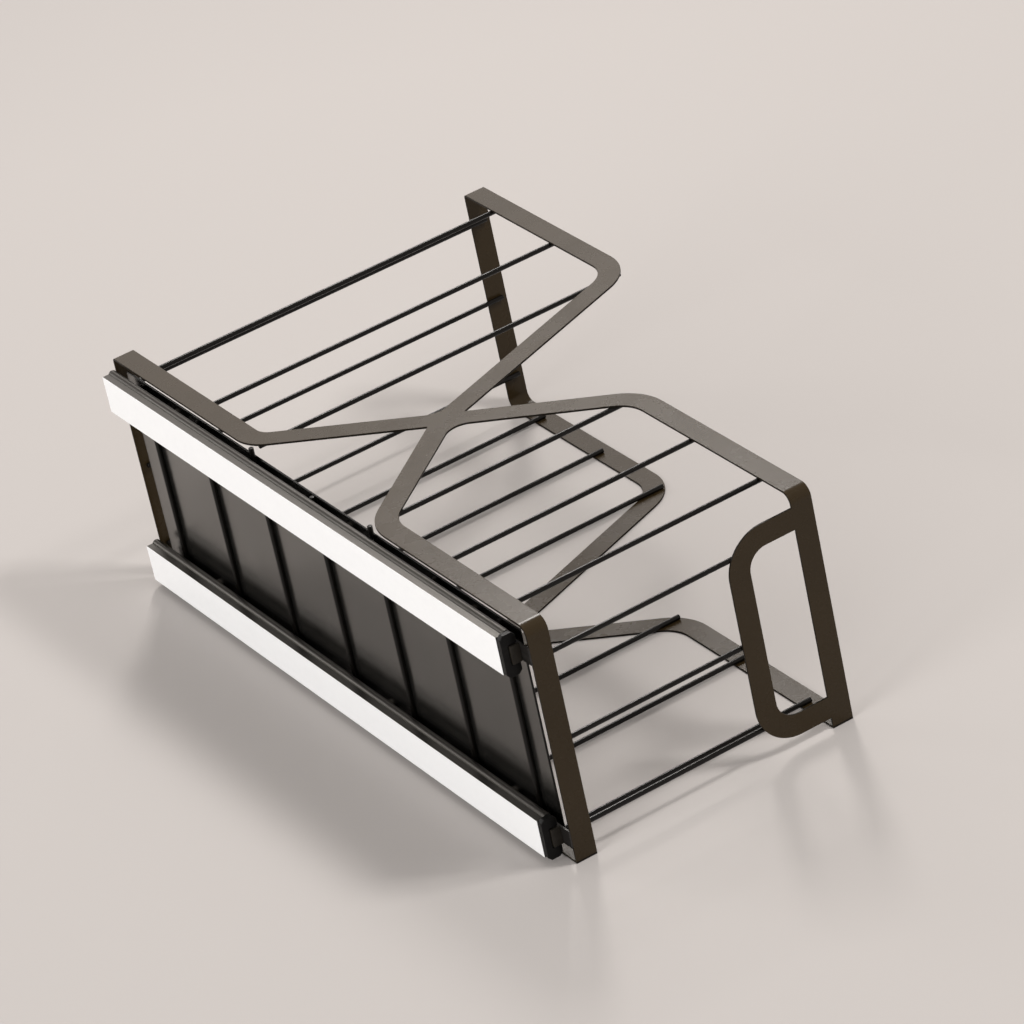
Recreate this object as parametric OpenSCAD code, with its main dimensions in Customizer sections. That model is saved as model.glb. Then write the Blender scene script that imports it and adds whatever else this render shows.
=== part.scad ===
// Pull-out storage basket: two flat X-shaped steel tiers held apart by four posts,
// cross wires and a side panel, carried on two telescopic ball slides at its side.
// The slides are on the -X side, the pull handle faces -Y and the basket stands on Z = 0.

/* [Frame] */
// Height of the basket, from the floor to the top of the upper tier
frame_h = 173; // [130:1:260]
// Width of the rear half of the basket
rear_w = 301.5; // [260:0.5:420]
// Width of the front half of the basket
front_w = 212.5; // [180:0.5:250]
// Width of the flat steel strip of the tiers and posts
strip_w = 15.5; // [12:0.5:20]
// Thickness of the flat steel
plate_t = 1.5; // [1:0.1:3]
// Outer radius of the bends between a tier and its posts
bend_r = 8; // [5:0.5:12]
// Outer radius of the small bends at the upper rear corners
corner_bend_r = 3; // [2:0.5:4]

/* [Crossing] */
// Distance from the slide side to the middle of the X
cross_x = 105; // [80:1:125]
// How far the corners of the X lie past the inner pair of wires
corner_lead = 5.5; // [2:0.5:12]
// The same distance at the wide rear corner
wide_corner_lead = 0; // [-4:0.5:4]
// Radius of the middle line of the strip at the rear corner beside the slides
corner_r = 21; // [12:0.5:26]
// The same radius at the two front corners
front_corner_r = 33; // [12:0.5:40]
// The same radius at the wide rear corner
wide_corner_r = 31; // [12:0.5:40]
// Radius of the round in the two wide notches of the X
notch_r = 15; // [4:0.5:18]

/* [Handle] */
// Width of the pull handle, measured from the free edge of the basket
handle_reach = 68; // [55:0.5:85]
// Width of the handle's flat bar
handle_bar = 15.5; // [10:0.5:18]
// Radius of the middle line of the bar at its two corners
handle_r = 22; // [12:0.5:26]
// Gap between the bend of the post and the top of the handle
handle_gap = 1.7; // [0.3:0.1:6]
// Height of the handle's lower edge above the floor
handle_foot = 8; // [4:0.5:20]

/* [Wires] */
// Diameter of the cross wires, panel rods and guard rods
wire_d = 3.5; // [2.5:0.1:5]
// Distance from each end of the basket to the nearest cross wire
wire_end_gap = 35.1; // [28:0.5:46]
// Distance from the free edge to the tips of the upper wires
upper_tip_gap = 7.5; // [2:0.5:10]
// Drop from the top of the basket to the highest front guard rod
front_guard_drop = 25.5; // [20:0.1:35]
// Drop from the top of the basket to the highest rear guard rod
rear_guard_drop = 23.6; // [20:0.1:35]
// Height between one guard rod and the next
guard_pitch = 62.4; // [40:0.1:95]
// Distance from the edge of a post to the tip of a guard rod
guard_tip_gap = 4; // [2:0.5:8]

/* [Side panel] */
// Thickness of the side panel
panel_t = 1; // [0.6:0.1:2]
// Distance from the front of the basket to the panel
panel_front_gap = 15; // [10:0.5:30]
// Distance from the rear of the basket to the panel
panel_rear_gap = 10; // [6:0.5:30]
// Distance from the panel's long edges to the two tiers
panel_edge_gap = 8; // [4:0.5:14]

/* [Slides] */
// Length of the slides, and the distance that the basket pulls out
slide_l = 500; // [420:5:600]
// Width of the flat face that is fixed to the cabinet
slide_h = 27; // [26:0.5:32]
// Thickness of a closed slide
slide_t = 13.3; // [13.2:0.1:15]
// Thickness of the steel of the slide members
slide_gauge = 1.1; // [0.9:0.05:1.3]
// Distance from the top of the basket to the middle of the upper slide
upper_slide_drop = 20; // [17:0.5:30]
// Height of the middle of the lower slide
lower_slide_rise = 18.5; // [16:0.5:30]
// Distance from the rear of the basket to the slides
slide_rear_gap = 7; // [4:0.5:20]
// Distance from the front of the basket to the slides
slide_front_gap = 15; // [12:0.5:25]

/* [Balls and cages] */
// Diameter of the balls between cabinet member and middle member
outer_ball_d = 3.5; // [3.2:0.05:3.6]
// Diameter of the balls between middle member and drawer member
inner_ball_d = 2.6; // [2.3:0.05:2.7]
// Clearance between a ball and its race
ball_gap = 0.25; // [0.15:0.01:0.3]
// Length of a ball cage
cage_l = 200; // [120:5:205]
// Number of balls in one row
row_balls = 9; // [4:1:11]

/* [Fixings] */
// Diameter of the screws that hold the drawer members to the basket
screw_d = 4; // [3:0.1:4.5]
// Diameter of a screw's head
screw_head_d = 7.5; // [6.5:0.1:8.5]
// Height of a screw's head
screw_head_h = 2; // [1.5:0.1:2.5]
// Diameter of the threaded boss behind each screw
boss_d = 9; // [8:0.5:11]

/* [Hidden] */

steel_colour = "#7b726a";
wire_colour = "#1f1d1c";
dark_colour = "#23211f";
panel_colour = "#8b847d";
web_colour = "#f4f4f2";
race_colour = "#77736c";
plastic_colour = "#1b1b1c";
zinc_colour = "#b5b4b0";

// Overall length, and the row of wires: three on each side of the middle
frame_l = slide_l + slide_rear_gap + slide_front_gap;
front_y = -frame_l / 2;
rear_y = frame_l / 2;
wire_pitch = (frame_l / 2 - wire_end_gap) / 3;

// Middle lines of the strips, measured from the slide side of the basket
near_x = strip_w / 2;
wide_x = rear_w - strip_w / 2;
narrow_x = front_w - strip_w / 2;
corner_y = wire_pitch + corner_lead;
wide_corner_y = wire_pitch + wide_corner_lead;
cross = [cross_x, 0];
// How far a rounded corner runs over its straights, so that they join cleanly
seam = 0.002;

// Cross wires lie under the upper tier and on the lower tier, guard rods behind the posts
wire_r = wire_d / 2;
upper_wire_z = frame_h - plate_t - wire_r;
lower_wire_z = plate_t + wire_r;
guard_inset = plate_t + wire_r;

// The panel stands between the tiers, behind its rods
panel_z0 = plate_t + panel_edge_gap;
panel_z1 = frame_h - plate_t - panel_edge_gap;
panel_y0 = front_y + panel_front_gap;
panel_y1 = rear_y - panel_rear_gap;

// The handle's bar
handle_left = front_w - handle_reach + handle_bar / 2;
handle_top = frame_h - bend_r - handle_gap - handle_bar / 2;
handle_low = handle_foot + handle_bar / 2;

// Slides: heights of their middles, ends, and the lag of the inner members
upper_slide_z = frame_h - upper_slide_drop;
lower_slide_z = lower_slide_rise;
slide_y0 = front_y + slide_front_gap;
slide_y1 = rear_y - slide_rear_gap;
stop_l = 6;
run_gap = 0.3;
guide_l = 4;
guide_cut = 2.5;
member_y1 = slide_y1 - stop_l - run_gap;
guide_y1 = slide_y0 - run_gap;
guide_y0 = guide_y1 - guide_l;

// Slide section: u runs from the cabinet face towards the basket, v from the middle to an edge
web_v = slide_h / 2;
outer_r = outer_ball_d / 2 + ball_gap;
inner_r = inner_ball_d / 2 + ball_gap;
outer_u = 7.6;
outer_row_inset = 1.3;
outer_v = web_v - outer_row_inset;
lip_l = 1.2;
web_gap = 1;
middle_u0 = slide_gauge + web_gap;
middle_top_v = outer_v - outer_r;
inner_row_inset = 2.4;
inner_u = slide_t - slide_gauge - inner_row_inset;
row_drop = 4.3;
inner_v = outer_v - row_drop;
drawer_top_v = inner_v - inner_r;
drawer_depth = 8;
drawer_u0 = slide_t - drawer_depth;
drawer_u1 = slide_t - slide_gauge;
cabinet_race = [0, 180];
outer_groove = [225, 300];
inner_groove = [0, 150];
drawer_race = [230, 310];
drawer_edge_v = inner_v + inner_r * sin(drawer_race[0]);

// Cages: a thin plate with two combs, whose open pockets hold the balls
cage_t = 0.45;
cage_mid_y = (slide_y0 + slide_y1) / 2;
cage_end = 4;
ball_step = (cage_l - 2 * cage_end - outer_ball_d) / (row_balls - 1);
outer_comb_drop = 0.9;
outer_comb_past = 1.3;
outer_web_gap = 0.3;
outer_comb_v = outer_v - outer_comb_drop;
outer_comb_end = outer_u + outer_comb_past;
outer_cage_u = slide_gauge + outer_web_gap;
inner_comb_drop = 0.7;
inner_comb_past = 1.1;
inner_web_gap = 0.8;
inner_comb_v = inner_v - inner_comb_drop;
inner_comb_end = inner_u + inner_comb_past;
inner_cage_u = middle_u0 + slide_gauge + inner_web_gap;
pocket_gap = 0.15;

// Screws sit midway between two rods, the boss fills the gap between slide and panel
screw_rows = [-2.5, -0.5, 2.5];
screw_fit = 0.05;
screw_tail = wire_d + panel_t;
recess_l = 4.4;
recess_w = 0.9;
recess_h = 1.1;

// Moves the slide side of the basket so that the whole assembly is centred on X
row_shift = (slide_t - rear_w) / 2;

function unit(v) = v / norm(v);
function corner_angle(a, v, b) = acos(unit(a - v) * unit(b - v));
function tangent_point(a, v, b, r) =
    v + unit(a - v) * r / tan(corner_angle(a, v, b) / 2);
function corner_centre(a, v, b, r) =
    v + unit(unit(a - v) + unit(b - v)) * r / sin(corner_angle(a, v, b) / 2);
function side_of(d, towards) =
    unit([-d[1], d[0]]) * sign(towards * [-d[1], d[0]]);

// What fills the inside of a corner v between a and b, on a middle radius r
module corner_fill(a, v, b, r, w) {
    c = corner_centre(a, v, b, r);
    heart = v + unit(c - v) * w / 4 / sin(corner_angle(a, v, b) / 2);
    difference() {
        polygon([c, tangent_point(a, v, b, r), heart, tangent_point(b, v, a, r)]);
        translate(c)
            circle(r = r - w / 2 + seam, $fn = 120);
    }
}

// What comes off the outside of the same corner
module corner_cut(a, v, b, r, w) {
    c = corner_centre(a, v, b, r);
    difference() {
        polygon([
            c,
            2 * tangent_point(a, v, b, r) - c,
            2 * v - c,
            2 * tangent_point(b, v, a, r) - c
        ]);
        translate(c)
            circle(r = r + w / 2 + seam, $fn = 120);
    }
}

// Outline of a strip from a to b, w wide, that turns the corner v on a middle radius r
module bent_strip(a, v, b, r, w) {
    mitre = unit(unit(a - v) + unit(b - v)) * w / 2 / sin(corner_angle(a, v, b) / 2);
    side_a = side_of(v - a, mitre) * w / 2;
    side_b = side_of(b - v, mitre) * w / 2;
    difference() {
        polygon([a + side_a, v + mitre, b + side_b, b - side_b, v - mitre, a - side_a]);
        corner_cut(a, v, b, r, w);
    }
    corner_fill(a, v, b, r, w);
}

// One X-shaped tier, whose strips end at the given depths
module tier(front_end, rear_end) {
    near_rear = [near_x, corner_y];
    near_front = [near_x, -corner_y];
    wide_rear = [wide_x, wide_corner_y];
    narrow_front = [narrow_x, -corner_y];
    linear_extrude(plate_t) {
        arm([near_x, rear_end], near_rear, corner_r);
        arm([near_x, front_end], near_front, front_corner_r);
        arm([wide_x, rear_end], wide_rear, wide_corner_r);
        arm([narrow_x, front_end], narrow_front, front_corner_r);
        corner_fill(near_rear, cross, wide_rear, notch_r + strip_w / 2, strip_w);
        corner_fill(near_front, cross, narrow_front, notch_r + strip_w / 2, strip_w);
    }
}

// One quarter of the X: from the end a, round the corner v and a little past the crossing
module arm(a, v, r) {
    bent_strip(a, v, cross + unit(cross - v) * strip_w / 8, r, strip_w);
}

// A quarter bend about X, of outer radius r, that starts at the given angle from +Y
module post_bend(x, y, z, r, start) {
    translate([x - strip_w / 2, y, z])
        rotate([90, 0, 90])
            rotate([0, 0, start])
                rotate_extrude(angle = 90, $fn = 96)
                    translate([r - plate_t, 0])
                        square([plate_t, strip_w]);
}

// Upper tier, with the two front posts and the two short rear corners bent down from it
module top_frame() {
    color(steel_colour) placed() {
        translate([0, 0, frame_h - plate_t])
            tier(front_y + bend_r, rear_y - corner_bend_r);
        for (x = [near_x, narrow_x]) {
            post_bend(x, front_y + bend_r, frame_h - bend_r, bend_r, 90);
            translate([x - strip_w / 2, front_y, plate_t])
                cube([strip_w, plate_t, frame_h - bend_r - plate_t]);
        }
        for (x = [near_x, wide_x])
            post_bend(x, rear_y - corner_bend_r, frame_h - corner_bend_r, corner_bend_r, 0);
    }
}

// Lower tier, with the two rear posts bent up from it
module bottom_frame() {
    color(steel_colour) placed() {
        tier(front_y, rear_y - bend_r);
        for (x = [near_x, wide_x]) {
            post_bend(x, rear_y - bend_r, bend_r, bend_r, 270);
            translate([x - strip_w / 2, rear_y - plate_t, bend_r])
                cube([strip_w, plate_t, frame_h - corner_bend_r - bend_r]);
        }
    }
}

// D-shaped loop of flat bar, flush with the front post that carries it
module pull_handle() {
    root = front_w - strip_w;
    top = [root, handle_top];
    upper = [handle_left, handle_top];
    lower = [handle_left, handle_low];
    bottom = [root, handle_low];
    half_bar = [handle_bar, handle_bar] / 2;
    color(steel_colour) placed()
        translate([0, front_y + plate_t, 0])
            rotate([90, 0, 0])
                linear_extrude(plate_t) {
                    difference() {
                        translate(lower - half_bar)
                            square(top - lower + [handle_bar / 2, handle_bar]);
                        translate(lower + half_bar)
                            square(top - lower - [0, handle_bar]);
                        translate([root, 0])
                            square([handle_bar, frame_h]);
                        corner_cut(top, upper, lower, handle_r, handle_bar);
                        corner_cut(upper, lower, bottom, handle_r, handle_bar);
                    }
                    corner_fill(top, upper, lower, handle_r, handle_bar);
                    corner_fill(upper, lower, bottom, handle_r, handle_bar);
                }
}

// Sheet behind the rods, with the threaded bosses that the slides are screwed to
module side_panel() {
    color(panel_colour) placed()
        difference() {
            union() {
                translate([wire_d, panel_y0, panel_z0])
                    cube([panel_t, panel_y1 - panel_y0, panel_z1 - panel_z0]);
                at_screws(upper_slide_z)
                    cylinder(d = boss_d, h = wire_d + panel_t, $fn = 48);
                at_screws(lower_slide_z)
                    cylinder(d = boss_d, h = wire_d + panel_t, $fn = 48);
            }
            at_screws(upper_slide_z)
                screw_bore();
            at_screws(lower_slide_z)
                screw_bore();
        }
}

// Upright rod against the panel, at the given number of pitches from the middle
module panel_rod(i, z0, z1) {
    color(wire_colour) placed()
        translate([wire_r, i * wire_pitch, z0])
            cylinder(r = wire_r, h = z1 - z0, $fn = 32);
}

// The rods stand on the lower tier, and those beside the corners of the X reach the upper tier
module short_rod(i) {
    panel_rod(i, plate_t, panel_z1);
}
module long_rod(i) {
    panel_rod(i, plate_t, frame_h - plate_t);
}
module panel_rod_1() { short_rod(3); }
module panel_rod_2() { short_rod(2); }
module panel_rod_3() { long_rod(1); }
module panel_rod_4() { panel_rod(0, panel_z0, panel_z1); }
module panel_rod_5() { long_rod(-1); }
module panel_rod_6() { short_rod(-2); }
module panel_rod_7() { short_rod(-3); }

// Round wire along X
module wire_x(x0, x1, z) {
    translate([x0, 0, z])
        rotate([0, 90, 0])
            cylinder(r = wire_r, h = x1 - x0, $fn = 32);
}

// Cross wire from the middle of the slide-side strip to the given tip
module cross_wire(i, tip, z) {
    color(wire_colour) placed()
        translate([0, i * wire_pitch, 0])
            wire_x(near_x, tip, z);
}

// Cross wires in the wide rear half and the narrow front half, counted from the rear
module upper_wire_1() { cross_wire(3, rear_w - upper_tip_gap, upper_wire_z); }
module upper_wire_2() { cross_wire(2, rear_w - upper_tip_gap, upper_wire_z); }
module upper_wire_3() { cross_wire(1, rear_w - upper_tip_gap, upper_wire_z); }
module upper_wire_4() { cross_wire(-1, front_w - upper_tip_gap, upper_wire_z); }
module upper_wire_5() { cross_wire(-2, front_w - upper_tip_gap, upper_wire_z); }
module upper_wire_6() { cross_wire(-3, front_w - upper_tip_gap, upper_wire_z); }
module lower_wire_1() { cross_wire(3, wide_x, lower_wire_z); }
module lower_wire_2() { cross_wire(2, wide_x, lower_wire_z); }
module lower_wire_3() { cross_wire(1, wide_x, lower_wire_z); }
module lower_wire_4() { cross_wire(-1, narrow_x, lower_wire_z); }
module lower_wire_5() { cross_wire(-2, narrow_x, lower_wire_z); }
module lower_wire_6() { cross_wire(-3, narrow_x, lower_wire_z); }

// Guard rod number i, counted down from the given drop, against the inside of the posts
module guard_rod(i, drop, y, tip) {
    color(wire_colour) placed() translate([0, y, 0])
        wire_x(guard_tip_gap, tip, frame_h - drop - (i - 1) * guard_pitch);
}
module rear_guard(i) {
    guard_rod(i, rear_guard_drop, rear_y - guard_inset, rear_w - guard_tip_gap);
}
module front_guard(i) {
    tip = handle_left + handle_bar / 2 - guard_tip_gap;
    guard_rod(i, front_guard_drop, front_y + guard_inset, tip);
}
module rear_guard_rod_1() { rear_guard(1); }
module rear_guard_rod_2() { rear_guard(2); }
module rear_guard_rod_3() { rear_guard(3); }
module front_guard_rod_1() { front_guard(1); }
module front_guard_rod_2() { front_guard(2); }
module front_guard_rod_3() { front_guard(3); }

// Moves a basket-side drawing into the assembly's frame
module placed() {
    translate([row_shift, 0, 0])
        children();
}

// Carries a slide section along Y from y0 to y1, at the height of its slide
module slide_run(z, y0, y1) {
    placed()
        translate([-slide_t, y1, z])
            rotate([90, 0, 0])
                linear_extrude(y1 - y0)
                    children();
}

// Draws one edge of a slide section and its mirror image
module both_edges() {
    children();
    mirror([0, 1])
        children();
}

// Part of a race: a ring of sheet round a ball, between the two given angles
module race(u, v, r, angles) {
    far = 3 * (r + slide_gauge);
    from = angles[0];
    to = angles[1];
    mid = (from + to) / 2;
    translate([u, v])
        intersection() {
            difference() {
                circle(r = r + slide_gauge, $fn = 64);
                circle(r = r, $fn = 64);
            }
            polygon([
                [0, 0],
                [far * cos(from), far * sin(from)],
                [far * cos(mid), far * sin(mid)],
                [far * cos(to), far * sin(to)]
            ]);
        }
}

// Outermost channel: the flat face goes against the cabinet, each edge curls over the balls
module cabinet_section() {
    translate([0, -web_v])
        square([slide_gauge, 2 * web_v]);
    both_edges() {
        translate([0, web_v - slide_gauge])
            square([outer_u - outer_r, slide_gauge]);
        race(outer_u, outer_v, outer_r, cabinet_race);
        translate([outer_u + outer_r, outer_v - lip_l])
            square([slide_gauge, lip_l]);
    }
}

// Middle channel: grooves outside for the outer balls and inside for the inner balls
module middle_section() {
    translate([middle_u0, -middle_top_v])
        square([slide_gauge, 2 * middle_top_v]);
    both_edges() {
        translate([middle_u0, middle_top_v - slide_gauge])
            square([outer_u - outer_r / 2 - middle_u0, slide_gauge]);
        race(outer_u, outer_v, outer_r, outer_groove);
        race(inner_u, inner_v, inner_r, inner_groove);
    }
}

// Innermost channel: its web is screwed to the basket
module drawer_section() {
    translate([drawer_u1, -drawer_top_v])
        square([slide_gauge, 2 * drawer_top_v]);
    both_edges() {
        translate([drawer_u0, drawer_top_v - slide_gauge])
            square([slide_t - drawer_u0, slide_gauge]);
        race(inner_u, inner_v, inner_r, drawer_race);
    }
}

// Member that is fixed to the cabinet
module cabinet_member(z) {
    color(web_colour)
        slide_run(z, slide_y0, slide_y1)
            cabinet_section();
}

// Moulded stop at the rear end of the cabinet member
module rear_stop(z) {
    color(plastic_colour)
        slide_run(z, slide_y1 - stop_l, slide_y1)
            translate([slide_gauge, -drawer_top_v])
                square([outer_u - slide_gauge, 2 * drawer_top_v]);
}

// Middle member, which travels half as far as the basket
module middle_member(z) {
    color(race_colour)
        slide_run(z, guide_y1, member_y1)
            middle_section();
}

// Moulded guide on the front end of the middle member, as high as the races, with cut corners
module front_guide(z) {
    edge = outer_v + outer_r + slide_gauge - run_gap;
    face = inner_u + inner_r;
    slot_v = drawer_edge_v + run_gap;
    slot_u = drawer_u0 - run_gap;
    color(plastic_colour)
        slide_run(z, guide_y0, guide_y1)
            difference() {
                polygon([
                    [run_gap, edge - guide_cut],
                    [run_gap + guide_cut, edge],
                    [face - guide_cut, edge],
                    [face, edge - guide_cut],
                    [face, guide_cut - edge],
                    [face - guide_cut, -edge],
                    [run_gap + guide_cut, -edge],
                    [run_gap, guide_cut - edge]
                ]);
                translate([slot_u, -slot_v])
                    square([slide_t, 2 * slot_v]);
            }
}

// Member that is screwed to the basket, with a flat tongue along the front post
module drawer_member(z) {
    color(dark_colour)
        difference() {
            union() {
                slide_run(z, guide_y0, member_y1)
                    drawer_section();
                slide_run(z, front_y, guide_y0)
                    translate([drawer_u1, -drawer_top_v])
                        square([slide_gauge, 2 * drawer_top_v]);
            }
            placed()
                translate([-slide_gauge, 0, 0])
                    at_screws(z)
                        screw_bore();
        }
}

// Moulded plug in the front end of the drawer member
module front_cap(z) {
    plug_l = 10;
    face_t = 1.5;
    color(plastic_colour) {
        slide_run(z, guide_y0, guide_y0 + plug_l)
            translate([drawer_u0, slide_gauge - drawer_top_v])
                square([drawer_u1 - drawer_u0, 2 * (drawer_top_v - slide_gauge)]);
        slide_run(z, guide_y0 - face_t, guide_y0)
            translate([drawer_u0, -drawer_top_v])
                square([drawer_u1 - drawer_u0, 2 * drawer_top_v]);
    }
}

// Places a drawing at each screw of a slide, with its +Z towards the basket
module at_screws(z) {
    for (k = screw_rows)
        translate([0, k * wire_pitch, z])
            rotate([0, 90, 0])
                children();
}

// Bore for a screw, through whatever lies between the slide and the inside of the panel
module screw_bore() {
    translate([0, 0, -slide_gauge])
        cylinder(d = screw_d + 2 * screw_fit, h = screw_tail + 2 * slide_gauge, $fn = 48);
}

// Pan-head screws with a cross recess, from inside the drawer member into the panel's bosses
module fixing_screws(z) {
    color(zinc_colour) placed()
        translate([-slide_gauge, 0, 0])
            at_screws(z) {
                cylinder(d = screw_d, h = screw_tail + slide_gauge, $fn = 48);
                difference() {
                    translate([0, 0, -screw_head_h])
                        cylinder(d = screw_head_d, h = screw_head_h, $fn = 48);
                    for (a = [0, 90])
                        rotate([0, 0, a])
                            translate([-recess_l / 2, -recess_w / 2, -screw_head_h - recess_h])
                                cube([recess_l, recess_w, 2 * recess_h]);
                }
            }
}

// A ball cage: web plate and two combs with one open pocket for each ball
module cage(z, web_u, comb_v, comb_end, ball_u, ball_r) {
    y0 = cage_mid_y - cage_l / 2;
    color(zinc_colour)
        difference() {
            slide_run(z, y0, y0 + cage_l)
                difference() {
                    translate([web_u, -comb_v - cage_t / 2])
                        square([comb_end - web_u, 2 * comb_v + cage_t]);
                    translate([web_u + cage_t, cage_t / 2 - comb_v])
                        square([comb_end - web_u, 2 * comb_v - cage_t]);
                }
            at_balls(z, ball_u)
                cylinder(r = ball_r + pocket_gap, h = 2 * slide_h, center = true, $fn = 32);
        }
}

// Both rows of balls of one cage
module balls(z, ball_u, ball_v, d) {
    color(zinc_colour)
        at_balls(z, ball_u)
            for (v = [-ball_v, ball_v])
                translate([0, 0, v])
                    sphere(d = d, $fn = 24);
}

// Places a drawing at each ball of a row
module at_balls(z, ball_u) {
    placed()
        for (i = [0 : row_balls - 1])
            translate([
                ball_u - slide_t,
                cage_mid_y + (i - (row_balls - 1) / 2) * ball_step,
                z
            ])
                children();
}

module outer_cage(z) {
    cage(z, outer_cage_u, outer_comb_v, outer_comb_end, outer_u, outer_ball_d / 2);
}
module inner_cage(z) {
    cage(z, inner_cage_u, inner_comb_v, inner_comb_end, inner_u, inner_ball_d / 2);
}
module outer_balls(z) {
    balls(z, outer_u, outer_v, outer_ball_d);
}
module inner_balls(z) {
    balls(z, inner_u, inner_v, inner_ball_d);
}

module upper_cabinet_member() { cabinet_member(upper_slide_z); }
module upper_rear_stop() { rear_stop(upper_slide_z); }
module upper_middle_member() { middle_member(upper_slide_z); }
module upper_front_guide() { front_guide(upper_slide_z); }
module upper_drawer_member() { drawer_member(upper_slide_z); }
module upper_front_cap() { front_cap(upper_slide_z); }
module upper_fixing_screws() { fixing_screws(upper_slide_z); }
module upper_outer_cage() { outer_cage(upper_slide_z); }
module upper_outer_balls() { outer_balls(upper_slide_z); }
module upper_inner_cage() { inner_cage(upper_slide_z); }
module upper_inner_balls() { inner_balls(upper_slide_z); }
module lower_cabinet_member() { cabinet_member(lower_slide_z); }
module lower_rear_stop() { rear_stop(lower_slide_z); }
module lower_middle_member() { middle_member(lower_slide_z); }
module lower_front_guide() { front_guide(lower_slide_z); }
module lower_drawer_member() { drawer_member(lower_slide_z); }
module lower_front_cap() { front_cap(lower_slide_z); }
module lower_fixing_screws() { fixing_screws(lower_slide_z); }
module lower_outer_cage() { outer_cage(lower_slide_z); }
module lower_outer_balls() { outer_balls(lower_slide_z); }
module lower_inner_cage() { inner_cage(lower_slide_z); }
module lower_inner_balls() { inner_balls(lower_slide_z); }

top_frame();
bottom_frame();
pull_handle();
side_panel();
panel_rod_1();
panel_rod_2();
panel_rod_3();
panel_rod_4();
panel_rod_5();
panel_rod_6();
panel_rod_7();
upper_wire_1();
upper_wire_2();
upper_wire_3();
upper_wire_4();
upper_wire_5();
upper_wire_6();
lower_wire_1();
lower_wire_2();
lower_wire_3();
lower_wire_4();
lower_wire_5();
lower_wire_6();
rear_guard_rod_1();
rear_guard_rod_2();
rear_guard_rod_3();
front_guard_rod_1();
front_guard_rod_2();
front_guard_rod_3();
upper_cabinet_member();
upper_rear_stop();
upper_middle_member();
upper_front_guide();
upper_drawer_member();
upper_front_cap();
upper_fixing_screws();
upper_outer_cage();
upper_outer_balls();
upper_inner_cage();
upper_inner_balls();
lower_cabinet_member();
lower_rear_stop();
lower_middle_member();
lower_front_guide();
lower_drawer_member();
lower_front_cap();
lower_fixing_screws();
lower_outer_cage();
lower_outer_balls();
lower_inner_cage();
lower_inner_balls();
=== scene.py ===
"""Looks of the pull-out storage basket: satin lacquered strips, black wires, a dark side panel
and two white-faced ball slides, on a plain pale floor. Lengths are in metres, in the part's own frame:
the slides on the -X side, the handle towards -Y, the floor at Z = 0."""

import math

import bmesh
import bpy
import numpy as np
from mathutils import Matrix, Vector


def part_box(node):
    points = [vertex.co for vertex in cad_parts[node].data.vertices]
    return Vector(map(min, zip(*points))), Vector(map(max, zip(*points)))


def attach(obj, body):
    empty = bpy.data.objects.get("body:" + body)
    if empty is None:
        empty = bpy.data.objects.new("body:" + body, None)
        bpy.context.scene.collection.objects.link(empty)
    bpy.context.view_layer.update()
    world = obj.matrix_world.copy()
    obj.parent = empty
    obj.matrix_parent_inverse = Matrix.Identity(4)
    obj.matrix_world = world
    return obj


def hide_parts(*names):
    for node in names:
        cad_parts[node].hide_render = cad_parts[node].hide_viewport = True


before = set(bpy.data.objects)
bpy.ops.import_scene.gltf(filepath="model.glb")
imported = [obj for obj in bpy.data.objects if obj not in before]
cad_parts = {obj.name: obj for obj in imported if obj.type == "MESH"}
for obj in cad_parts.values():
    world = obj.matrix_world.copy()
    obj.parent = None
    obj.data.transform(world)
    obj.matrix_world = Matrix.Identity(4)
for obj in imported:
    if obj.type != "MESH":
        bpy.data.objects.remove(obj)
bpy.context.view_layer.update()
MM = 0.001

# Names of the straight wires and of the slides
RODS = [f"panel_rod_{i}" for i in range(1, 8)]
WIRES = [f"{tier}_wire_{i}" for tier in ("upper", "lower") for i in range(1, 7)]
GUARDS = [f"{end}_guard_rod_{i}" for end in ("rear", "front") for i in (1, 2, 3)]
SLIDES = ("upper", "lower")

# Sizes read from the CAD nodes: radius of a wire, place of the slides' white faces, thickness of the flat bar
WIRE_R = (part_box("panel_rod_4")[1].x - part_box("panel_rod_4")[0].x) / 2
WEB_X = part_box("upper_cabinet_member")[0].x
PLATE_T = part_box("pull_handle")[1].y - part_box("pull_handle")[0].y

# Rounds of the edges, by piece
STRIP_ROUND = 0.3 * MM
PANEL_ROUND = 0.2 * MM
CABINET_ROUND = 0.15 * MM
MEMBER_ROUND = 0.12 * MM
PLUG_ROUND = 0.3 * MM
TIP_ROUND = 0.3 * MM

# Radius of the panel's hems, and how deep in the sheet their middle lines lie, from its inner face
HEM_R = 0.75 * MM
HEM_INSET = 0.25 * MM

# Points closer than this are one point, and faces that turn by less than this angle are one flat face
WELD = 2e-6
FLAT = math.radians(0.4)


# Shapes
def mesh_object(name, points, faces, smooth=True):
    """An object of the given points and faces, with its place in its mesh."""
    mesh = bpy.data.meshes.new(name)
    mesh.from_pydata(points.tolist(), [], faces)
    mesh.update()
    mesh.polygons.foreach_set("use_smooth", np.full(len(mesh.polygons), smooth))
    piece = bpy.data.objects.new(name, mesh)
    bpy.context.scene.collection.objects.link(piece)
    return piece


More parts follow.
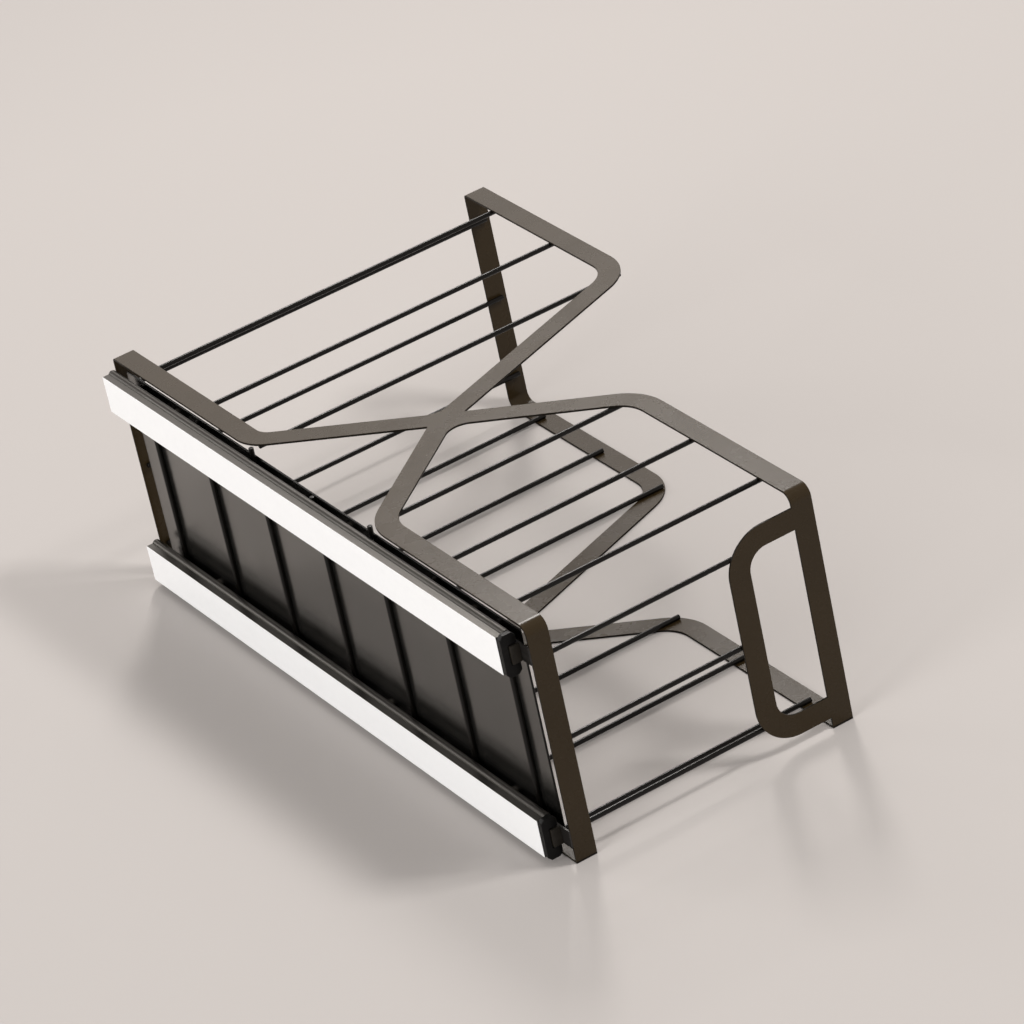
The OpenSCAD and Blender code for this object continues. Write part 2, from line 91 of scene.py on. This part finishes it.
def round_body(name, start, end, along, radii, around=24):
    """A round body turned about the line from start to end. The point at share t of the line and angle a is
    start + t (end - start) + r(t) (cos a * u + sin a * v), where u and v are two unit vectors across the
    line. Both ends are closed with a disc."""
    start, end = np.asarray(start, float), np.asarray(end, float)
    axis = (end - start) / np.linalg.norm(end - start)
    u = np.cross(axis, [0.0, 0.0, 1.0] if abs(axis[2]) < 0.9 else [1.0, 0.0, 0.0])
    u /= np.linalg.norm(u)
    v = np.cross(axis, u)
    angle = np.linspace(0, 2 * math.pi, around, endpoint=False)
    ring = np.cos(angle)[:, None] * u + np.sin(angle)[:, None] * v
    line = start + np.asarray(along, float)[:, None] * (end - start)
    points = line[:, None] + ring[None] * np.asarray(radii, float)[:, None, None]
    row = np.arange(len(line) - 1)[:, None] * around
    col = np.arange(around)[None, :]
    step = (col + 1) % around
    sides = np.stack([row + col, row + step, row + around + step, row + around + col], -1).reshape(-1, 4)
    last = (len(line) - 1) * around
    discs = [list(range(around))[::-1], list(range(last, last + around))]
    return mesh_object(name, points.reshape(-1, 3), sides.tolist() + discs)


def round_bar(name, start, end, radius):
    """A round bar of radius R, whose cut ends are broken by a quarter round of radius c: the radius is
    R - c + c sin b at c (1 - cos b) from the end."""
    b = np.radians([0, 22, 45, 68, 90])
    inset = TIP_ROUND * (1 - np.cos(b)) / np.linalg.norm(np.subtract(end, start))
    lift = radius - TIP_ROUND + TIP_ROUND * np.sin(b)
    body = np.linspace(0.04, 0.96, 5)
    along = np.concatenate([inset, body, 1 - inset[::-1]])
    radii = np.concatenate([lift, np.full(len(body), radius), lift[::-1]])
    return round_body(name, start, end, along, radii)


def straight_wire(node):
    """A straight wire in the place of a CAD wire, whose middle line comes from the node's box."""
    low, high = (np.array(corner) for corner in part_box(node))
    longest = int(np.argmax(high - low))
    start, end = (low + high) / 2, (low + high) / 2
    start[longest], end[longest] = low[longest], high[longest]
    piece = round_bar(node + "_wire", start, end, WIRE_R)
    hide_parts(node)
    return piece


def panel_hems():
    """The rolled hems of the side panel: round beads, whose middle lines run along the sheet's edges."""
    low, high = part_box("side_panel")
    x = high.x - HEM_INSET
    front, rear, foot, head = low.y, high.y, low.z, high.z
    lines = {"top": ((front, head), (rear, head)), "foot": ((front, foot), (rear, foot)),
             "front": ((front, foot), (front, head)), "rear": ((rear, foot), (rear, head))}
    return [round_bar(f"panel_{side}_hem", (x, *start), (x, *end), HEM_R)
            for side, (start, end) in lines.items()]


def open_foot(work, node):
    """Where a node stands against the side of another, cuts that side at the levels of the foot's edges, and
    takes out both touching faces."""
    low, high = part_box(node)
    reach = Vector((WELD, WELD, WELD))
    low, high = low - reach, high + reach
    ends = [v.co.z for v in work.verts if abs(v.co.x - high.x + WELD) < WELD and low.y < v.co.y < high.y
            and low.z < v.co.z < high.z]
    for height in sorted({round(z, 6) for z in ends}):
        bmesh.ops.bisect_plane(work, geom=work.verts[:] + work.edges[:] + work.faces[:], dist=WELD,
                               plane_co=(0, 0, height), plane_no=(0, 0, 1))
    bmesh.ops.remove_doubles(work, verts=work.verts, dist=WELD)
    seen, double = {}, []
    for face in work.faces:
        key = frozenset(v.index for v in face.verts)
        if key in seen:
            double += [face, seen[key]]
        seen[key] = face
    bmesh.ops.delete(work, geom=double, context="FACES_ONLY")
    bmesh.ops.dissolve_limit(work, angle_limit=FLAT, verts=work.verts, edges=work.edges)


def clean_copy(*nodes):
    """One mesh of the given CAD nodes, with its doubles merged and its flat faces made whole. A second node
    is joined to the first at its foot."""
    work = bmesh.new()
    for node in nodes:
        work.from_mesh(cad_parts[node].data)
    bmesh.ops.remove_doubles(work, verts=work.verts, dist=WELD)
    bmesh.ops.dissolve_limit(work, angle_limit=FLAT, verts=work.verts, edges=work.edges)
    for node in nodes[1:]:
        open_foot(work, node)
    for edge in work.edges:
        edge.smooth = True
    mesh = bpy.data.meshes.new(nodes[0] + "_rounded")
    work.to_mesh(mesh)
    work.free()
    for left_over in ("custom_normal", "sharp_edge", "sharp_face"):
        if left_over in mesh.attributes:
            mesh.attributes.remove(mesh.attributes[left_over])
    mesh.polygons.foreach_set("use_smooth", np.full(len(mesh.polygons), True))
    return mesh


def thickness_faces(mesh):
    """Marks the faces that are the cut edges of the flat bar: those that face along X, and those that are as
    tall or as deep as the bar is thick and stand square to it. A face's span is the largest less the smallest
    place of its corners."""
    points = np.empty(len(mesh.vertices) * 3)
    mesh.vertices.foreach_get("co", points)
    corner_of = np.empty(len(mesh.loops), np.int32)
    mesh.loops.foreach_get("vertex_index", corner_of)
    first = np.empty(len(mesh.polygons), np.int32)
    mesh.polygons.foreach_get("loop_start", first)
    normals = np.empty(len(mesh.polygons) * 3)
    mesh.polygons.foreach_get("normal", normals)
    corners = points.reshape(-1, 3)[corner_of]
    spans = np.maximum.reduceat(corners, first) - np.minimum.reduceat(corners, first)
    away = np.abs(normals.reshape(-1, 3))
    as_thick = np.abs(spans - PLATE_T) < 0.1 * PLATE_T
    standing = (away[:, 2] < 0.02) & as_thick[:, 2]
    square_on = (away[:, 1] < 0.02) & as_thick[:, 1]
    return (away[:, 0] > 0.999) | standing | square_on


def rounded_copy(radius, *nodes):
    """A piece in the place of CAD nodes, with their sharp edges rounded."""
    piece = bpy.data.objects.new(nodes[0] + "_rounded", clean_copy(*nodes))
    bpy.context.scene.collection.objects.link(piece)
    bevel = piece.modifiers.new("edges", "BEVEL")
    bevel.width = radius
    bevel.segments = 2
    bevel.limit_method = "ANGLE"
    bevel.angle_limit = math.radians(28)
    bevel.use_clamp_overlap = True
    shading = piece.modifiers.new("flats", "WEIGHTED_NORMAL")
    shading.mode = "FACE_AREA"
    shading.weight = 50
    shading.keep_sharp = False
    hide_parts(*nodes)
    return piece


# Nodes of a material
def feed(tree, value, socket):
    """Gives a socket its value: a number, a colour, or what another socket puts out."""
    if isinstance(value, bpy.types.NodeSocket):
        tree.links.new(value, socket)
    else:
        socket.default_value = (*value, 1) if isinstance(value, tuple) else value


def object_place(tree):
    """The point's place on the object, in metres."""
    return tree.nodes.new("ShaderNodeTexCoord").outputs["Object"]


def noise(tree, place, scale, detail, rough):
    """Noise of the given number of lumps to the metre."""
    node = tree.nodes.new("ShaderNodeTexNoise")
    node.inputs["Scale"].default_value = scale
    node.inputs["Detail"].default_value = detail
    node.inputs["Roughness"].default_value = rough
    tree.links.new(place, node.inputs["Vector"])
    return node.outputs["Fac"]


def spread(tree, value, low, high, out_low, out_high):
    """Maps low..high of a value to out_low..out_high, and holds it there outside."""
    node = tree.nodes.new("ShaderNodeMapRange")
    node.inputs["From Min"].default_value = low
    node.inputs["From Max"].default_value = high
    feed(tree, out_low, node.inputs["To Min"])
    feed(tree, out_high, node.inputs["To Max"])
    tree.links.new(value, node.inputs["Value"])
    return node.outputs["Result"]


def math_node(tree, operation, first, second):
    """One operation on two values, each a number or a socket."""
    node = tree.nodes.new("ShaderNodeMath")
    node.operation = operation
    feed(tree, first, node.inputs[0])
    feed(tree, second, node.inputs[1])
    return node.outputs[0]


def scaled_colour(tree, colour, factor):
    """A colour times a value."""
    node = tree.nodes.new("ShaderNodeVectorMath")
    node.operation = "SCALE"
    tree.links.new(colour, node.inputs[0])
    tree.links.new(factor, node.inputs["Scale"])
    return node.outputs[0]


def blend_colours(tree, factor, first, second):
    """Mixes two colours that other sockets put out."""
    node = tree.nodes.new("ShaderNodeMix")
    node.data_type = "RGBA"
    tree.links.new(factor, node.inputs["Factor"])
    for name, colour in (("A", first), ("B", second)):
        tree.links.new(colour, next(s for s in node.inputs if s.name == name and s.type == "RGBA"))
    return next(s for s in node.outputs if s.type == "RGBA")


def seen_directly(tree):
    """1 for what the camera sees, also in a mirror or through glass, and 0 for what only lights the scene."""
    rays = tree.nodes.new("ShaderNodeLightPath").outputs
    seen = math_node(tree, "MAXIMUM", rays["Is Camera Ray"], rays["Is Glossy Ray"])
    return math_node(tree, "MAXIMUM", seen, rays["Is Transmission Ray"])


# Surface effects, each built once and placed in several materials
def effect_group(name, *values):
    """An empty shader group. Its inputs are the given (name, value) pairs, and it puts out a colour, a
    roughness and a height."""
    tree = bpy.data.node_groups.new(name, "ShaderNodeTree")
    for label, value in values:
        kind = "NodeSocketColor" if isinstance(value, tuple) else "NodeSocketFloat"
        feed(tree, value, tree.interface.new_socket(label, in_out="INPUT", socket_type=kind))
    for label, kind in (("Colour", "NodeSocketColor"), ("Roughness", "NodeSocketFloat"),
                        ("Height", "NodeSocketFloat")):
        tree.interface.new_socket(label, in_out="OUTPUT", socket_type=kind)
    given = tree.nodes.new("NodeGroupInput").outputs
    result = tree.nodes.new("NodeGroupOutput").inputs
    return tree, given, result


def sprayed_lacquer():
    """Sprayed satin lacquer: metal flakes finer than a strip's thickness, a slow drift of tone as of an
    uneven coat, and the faint orange peel of a sprayed film."""
    tree, given, result = effect_group("sprayed_lacquer", ("Colour", (0.1, 0.1, 0.1)),
                                       ("Flake Colour", (0.2, 0.2, 0.2)), ("Flakes", 0.4),
                                       ("Roughness", 0.35))
    here = object_place(tree)
    flakes = spread(tree, noise(tree, here, 2600, 1.0, 0.6), 0.52, 0.72, 0.0, given["Flakes"])
    drift = spread(tree, noise(tree, here, 14, 3.0, 0.55), 0.3, 0.7, 0.93, 1.07)
    uneven = spread(tree, noise(tree, here, 55, 4.0, 0.6), 0.3, 0.7, -0.035, 0.035)
    peel = noise(tree, here, 620, 2.0, 0.5)
    flaked = blend_colours(tree, flakes, given["Colour"], given["Flake Colour"])
    feed(tree, scaled_colour(tree, flaked, drift), result["Colour"])
    feed(tree, math_node(tree, "ADD", given["Roughness"], uneven), result["Roughness"])
    feed(tree, math_node(tree, "ADD", peel, math_node(tree, "MULTIPLY", flakes, 0.35)), result["Height"])
    return tree


def drawn_steel():
    """Drawn strip steel: streaks that run the length of the slide, with a few darker draw marks."""
    tree, given, result = effect_group("drawn_steel", ("Colour", (0.2, 0.2, 0.2)),
                                       ("Mark Colour", (0.1, 0.1, 0.1)), ("Roughness", 0.35))
    stretch = tree.nodes.new("ShaderNodeMapping")
    stretch.inputs["Scale"].default_value = (1.0, 0.012, 1.0)
    tree.links.new(object_place(tree), stretch.inputs["Vector"])
    fine_streaks = noise(tree, stretch.outputs[0], 2200, 3.0, 0.65)
    broad_streaks = noise(tree, stretch.outputs[0], 420, 2.0, 0.5)
    marks = spread(tree, broad_streaks, 0.42, 0.66, 0.0, 0.8)
    rubbed = spread(tree, fine_streaks, 0.3, 0.7, -0.08, 0.08)
    feed(tree, blend_colours(tree, marks, given["Colour"], given["Mark Colour"]), result["Colour"])
    feed(tree, math_node(tree, "ADD", given["Roughness"], rubbed), result["Roughness"])
    feed(tree, fine_streaks, result["Height"])
    return tree


def moulded_grain():
    """Moulded plastic: a spark-eroded grain and a slight unevenness of gloss, lighter where it is rubbed."""
    tree, given, result = effect_group("moulded_grain", ("Colour", (0.02, 0.02, 0.02)),
                                       ("Worn Colour", (0.04, 0.04, 0.04)), ("Roughness", 0.45))
    here = object_place(tree)
    grain = noise(tree, here, 3400, 2.0, 0.55)
    worn = spread(tree, noise(tree, here, 160, 3.0, 0.6), 0.45, 0.75, 0.0, 0.7)
    matt = spread(tree, grain, 0.3, 0.7, -0.06, 0.06)
    feed(tree, blend_colours(tree, worn, given["Colour"], given["Worn Colour"]), result["Colour"])
    feed(tree, math_node(tree, "ADD", given["Roughness"], matt), result["Roughness"])
    feed(tree, grain, result["Height"])
    return tree


LACQUER = sprayed_lacquer()
DRAWN = drawn_steel()
MOULDED = moulded_grain()


# Materials
def new_material(name, colour, metallic, roughness, specular=0.5):
    """A Principled material and its shader, with the constants on the shader's own sockets."""
    material = bpy.data.materials.new(name)
    material.use_nodes = True
    shader = material.node_tree.nodes["Principled BSDF"]
    shader.inputs["Base Color"].default_value = (*colour, 1)
    shader.inputs["Metallic"].default_value = metallic
    shader.inputs["Roughness"].default_value = roughness
    shader.inputs["Specular IOR Level"].default_value = specular
    return material, shader


def place_effect(tree, effect, values):
    """Puts an effect group into a material with its own values, and returns the group's node."""
    node = tree.nodes.new("ShaderNodeGroup")
    node.node_tree = effect
    for name, value in values.items():
        feed(tree, value, node.inputs[name])
    return node


def finish_with(material, effect, values, bump, depth):
    """Puts an effect group into a material, and leads its colour, roughness and relief to the shader."""
    tree = material.node_tree
    shader = tree.nodes["Principled BSDF"]
    node = place_effect(tree, effect, values)
    tree.links.new(node.outputs["Colour"], shader.inputs["Base Color"])
    tree.links.new(node.outputs["Roughness"], shader.inputs["Roughness"])
    relief = tree.nodes.new("ShaderNodeBump")
    relief.inputs["Strength"].default_value = bump
    relief.inputs["Distance"].default_value = depth
    tree.links.new(node.outputs["Height"], relief.inputs["Height"])
    tree.links.new(relief.outputs["Normal"], shader.inputs["Normal"])
    return node


def lacquered(name, colour, flake_colour, metallic, roughness, flakes, specular, bump=0.05):
    """A sprayed satin lacquer."""
    material, _ = new_material(name, colour, metallic, roughness, specular)
    values = {"Colour": colour, "Flake Colour": flake_colour, "Flakes": flakes, "Roughness": roughness}
    finish_with(material, LACQUER, values, bump, 0.06 * MM)
    return material


def steel_of(name, colour, mark_colour, metallic, roughness):
    """A drawn steel strip."""
    material, _ = new_material(name, colour, metallic, roughness)
    finish_with(material, DRAWN, {"Colour": colour, "Mark Colour": mark_colour, "Roughness": roughness},
                0.2, 0.04 * MM)
    return material


def moulded_in(name, colour, worn_colour, metallic, roughness, bump, specular=0.5):
    """A moulded or tumbled surface with a fine grain."""
    material, _ = new_material(name, colour, metallic, roughness, specular)
    finish_with(material, MOULDED, {"Colour": colour, "Worn Colour": worn_colour, "Roughness": roughness},
                bump, 0.04 * MM)
    return material


def white_faced_steel():
    """The cabinet member's finish: drawn steel, with white enamel on the flat face that goes against the
    wardrobe. The enamel ends between 0.10 and 0.22 mm from that face."""
    white, worn_white = (0.875, 0.885, 0.895), (0.855, 0.865, 0.875)
    material, shader = new_material("white_faced_steel", white, 0.0, 0.42)
    tree = material.node_tree
    bare = {"Colour": (0.060, 0.057, 0.052), "Mark Colour": (0.050, 0.047, 0.043), "Roughness": 0.36}
    steel = finish_with(material, DRAWN, bare, 0.15, 0.04 * MM)
    enamel = place_effect(tree, MOULDED, {"Colour": white, "Worn Colour": worn_white, "Roughness": 0.45})
    parts = tree.nodes.new("ShaderNodeSeparateXYZ")
    tree.links.new(object_place(tree), parts.inputs[0])
    on_face = spread(tree, parts.outputs["X"], WEB_X + 0.10 * MM, WEB_X + 0.22 * MM, 1.0, 0.0)
    feed(tree, blend_colours(tree, on_face, steel.outputs["Colour"], enamel.outputs["Colour"]),
         shader.inputs["Base Color"])
    feed(tree, spread(tree, on_face, 0.0, 1.0, 0.85, 0.0), shader.inputs["Metallic"])
    matter = math_node(tree, "MULTIPLY", on_face, 0.09)
    feed(tree, math_node(tree, "ADD", matter, steel.outputs["Roughness"]), shader.inputs["Roughness"])
    return material


frame_paint = lacquered("frame_lacquer", (0.030, 0.0195, 0.008), (0.070, 0.053, 0.036),
                        metallic=0.0, roughness=0.27, flakes=0.3, specular=0.2)
# The cut edges get a darker, less glossy copy of the frame lacquer: painted shade on the narrow edge faces
edge_shade_paint = lacquered("edge_lacquer_painted_shade", (0.010, 0.0078, 0.0055), (0.02, 0.016, 0.012),
                       metallic=0.0, roughness=0.42, flakes=0.3, specular=0.1)
wire_paint = lacquered("wire_lacquer", (0.0035, 0.003, 0.0025), (0.014, 0.012, 0.010),
                       metallic=0.0, roughness=0.24, flakes=0.3, specular=0.22)
panel_paint = lacquered("panel_lacquer", (0.155, 0.148, 0.138), (0.21, 0.20, 0.188),
                        metallic=0.95, roughness=0.21, flakes=0.25, specular=0.5, bump=0.04)
race_steel = steel_of("race_steel", (0.115, 0.110, 0.100), (0.07, 0.066, 0.06), metallic=0.9, roughness=0.36)
dark_steel = steel_of("dark_steel", (0.012, 0.011, 0.010), (0.024, 0.022, 0.020), metallic=0.3, roughness=0.38)
black_plastic = moulded_in("black_plastic", (0.004, 0.004, 0.004), (0.008, 0.008, 0.007),
                           metallic=0.0, roughness=0.34, bump=0.2, specular=0.12)
plug_plastic = moulded_in("plug_plastic", (0.016, 0.0135, 0.010), (0.026, 0.023, 0.019),
                          metallic=0.0, roughness=0.42, bump=0.3, specular=0.2)
zinc_steel = moulded_in("zinc_steel", (0.52, 0.52, 0.50), (0.38, 0.385, 0.39),
                        metallic=1.0, roughness=0.28, bump=0.12)
web_paint = white_faced_steel()


# Pieces
def dress(piece, material, body):
    """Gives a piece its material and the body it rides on."""
    piece.data.materials.clear()
    piece.data.materials.append(material)
    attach(piece, body)
    return piece


def paint_edge_shade(piece, material):
    """Gives the cut edges of a flat-bar piece a darker, less glossy copy of the lacquer: painted shade on the
    narrow edge faces.
    """
    piece.data.materials.append(material)
    piece.data.polygons.foreach_set("material_index", thickness_faces(piece.data).astype(np.int32))


def paint(node, material):
    """Gives a CAD node its material."""
    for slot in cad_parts[node].material_slots:
        slot.material = material


for nodes in (("top_frame", "pull_handle"), ("bottom_frame",)):
    paint_edge_shade(dress(rounded_copy(STRIP_ROUND, *nodes), frame_paint, "basket"), edge_shade_paint)
dress(rounded_copy(PANEL_ROUND, "side_panel"), panel_paint, "basket")
# The hems take the black wire lacquer rather than the panel's own: painted shade, dark beads that close the
# gap along the panel's edges to the frame and slides
for hem in panel_hems():
    dress(hem, wire_paint, "basket")
for node in RODS + WIRES + GUARDS:
    dress(straight_wire(node), wire_paint, "basket")

for slide in SLIDES:
    dress(rounded_copy(CABINET_ROUND, slide + "_cabinet_member"), web_paint, "cabinet_rails")
    dress(rounded_copy(MEMBER_ROUND, slide + "_middle_member"), race_steel, slide + "_middle")
    dress(rounded_copy(MEMBER_ROUND, slide + "_drawer_member"), dark_steel, "basket")
    dress(rounded_copy(PLUG_ROUND, slide + "_rear_stop"), black_plastic, "cabinet_rails")
    dress(rounded_copy(PLUG_ROUND, slide + "_front_guide"), black_plastic, slide + "_middle")
    dress(rounded_copy(PLUG_ROUND, slide + "_front_cap"), plug_plastic, "basket")
    for part in ("_fixing_screws", "_outer_cage", "_outer_balls", "_inner_cage", "_inner_balls"):
        paint(slide + part, zinc_steel)

# Floor, backdrop and the light from all round. Away from the object the floor goes over into the plain
# backdrop, so that no view shows where the lamps' light ends
BACKDROP = (0.585, 0.541, 0.513)
FLOOR_REACH = 6
FLOOR_FADES_FROM = 0.9
FLOOR_FADES_TO = 2.4
SKY_COLOUR = (0.80, 0.765, 0.74)
SKY_STRENGTH = 0.52


def backdrop_floor():
    """A plain matt floor that takes the object's shadow."""
    corners = np.array([[-1, -1, 0], [1, -1, 0], [1, 1, 0], [-1, 1, 0]], float) * FLOOR_REACH
    floor = mesh_object("floor", corners, [[0, 1, 2, 3]], False)
    material, shader = new_material("floor_paint", (0.490, 0.462, 0.446), 0.0, 0.85, 0.12)
    floor.data.materials.append(material)
    tree = material.node_tree
    reach = tree.nodes.new("ShaderNodeVectorMath")
    reach.operation = "LENGTH"
    tree.links.new(object_place(tree), reach.inputs[0])
    beyond = spread(tree, reach.outputs["Value"], FLOOR_FADES_FROM, FLOOR_FADES_TO, 0.0, 1.0)
    glow = tree.nodes.new("ShaderNodeEmission")
    glow.inputs["Color"].default_value = (*BACKDROP, 1)
    joined = tree.nodes.new("ShaderNodeMixShader")
    tree.links.new(math_node(tree, "MULTIPLY", beyond, seen_directly(tree)), joined.inputs[0])
    tree.links.new(shader.outputs[0], joined.inputs[1])
    tree.links.new(glow.outputs[0], joined.inputs[2])
    tree.links.new(joined.outputs[0], tree.nodes["Material Output"].inputs["Surface"])


def studio_world():
    """An even pale light from all round, which looks like the backdrop where it is seen."""
    world = bpy.data.worlds.new("studio")
    bpy.context.scene.world = world
    world.use_nodes = True
    tree = world.node_tree
    light = tree.nodes["Background"]
    light.inputs["Color"].default_value = (*SKY_COLOUR, 1)
    light.inputs["Strength"].default_value = SKY_STRENGTH
    distance = tree.nodes.new("ShaderNodeBackground")
    distance.inputs["Color"].default_value = (*BACKDROP, 1)
    both = tree.nodes.new("ShaderNodeMixShader")
    tree.links.new(seen_directly(tree), both.inputs[0])
    tree.links.new(light.outputs[0], both.inputs[1])
    tree.links.new(distance.outputs[0], both.inputs[2])
    tree.links.new(both.outputs[0], tree.nodes["World Output"].inputs["Surface"])


backdrop_floor()
studio_world()

# Lamps, all turned towards a point in the middle of the basket
LAMP_AIM = Vector((0, 0, 0.08))


def softbox(name, place, width, height, power, colour):
    """A flat lamp at a place, turned towards the basket."""
    data = bpy.data.lights.new(name, "AREA")
    data.shape = "RECTANGLE"
    data.size = width
    data.size_y = height
    data.energy = power
    data.color = colour
    lamp = bpy.data.objects.new(name, data)
    lamp.location = place
    lamp.rotation_euler = (LAMP_AIM - Vector(place)).to_track_quat("-Z", "Y").to_euler()
    bpy.context.scene.collection.objects.link(lamp)
    return lamp


softbox("back_softbox", (1.15, 2.3, 1.5), width=1.9, height=1.9, power=11.5, colour=(1, 0.945, 0.90))
softbox("left_softbox", (-3.5, -0.86, 1.53), width=1.7, height=1.7, power=92, colour=(1, 0.99, 0.975))
softbox("high_softbox", (0.90, 1.50, 2.05), width=0.30, height=0.9, power=26, colour=(1, 0.97, 0.94))
softbox("edge_softbox", (-1.25, 2.05, 1.0), width=0.8, height=0.8, power=9, colour=(1, 0.98, 0.96))
key = softbox("key_softbox", (0.99, -1.04, 2.2), width=0.42, height=0.42, power=31, colour=(1, 0.98, 0.955))
key.visible_glossy = False

# The camera's viewing angle in degrees: azimuth from -Y towards -X, elevation above the floor, and the lean of
# the picture. Its distance and target are in metres, and its lens in millimetres
CAMERA_AZIMUTH = 26.56
CAMERA_ELEVATION = 29.515
CAMERA_LEAN = 12.479
CAMERA_DISTANCE = 3.57504
CAMERA_TARGET = Vector((-0.004344, 0.001361, 0.08522))
CAMERA_LENS = 191.578


def picture_camera():
    """The camera, at its distance from the target along the viewing angle, and turned about its own axis by
    the picture's lean."""
    data = bpy.data.cameras.new("camera")
    data.lens = CAMERA_LENS
    data.sensor_width = 36
    data.sensor_fit = "HORIZONTAL"
    data.clip_end = 50
    camera = bpy.data.objects.new("camera", data)
    az, el, lean = (math.radians(angle) for angle in (CAMERA_AZIMUTH, CAMERA_ELEVATION, CAMERA_LEAN))
    towards = Vector((-math.sin(az) * math.cos(el), -math.cos(az) * math.cos(el), math.sin(el)))
    level = towards.to_track_quat("Z", "Y").to_matrix().to_4x4()
    leaning = level @ Matrix.Rotation(-lean, 4, "Z")
    camera.matrix_world = Matrix.Translation(CAMERA_TARGET + towards * CAMERA_DISTANCE) @ leaning
    bpy.context.scene.collection.objects.link(camera)
    bpy.context.scene.camera = camera


picture_camera()
bpy.context.scene.view_settings.view_transform = "Standard"
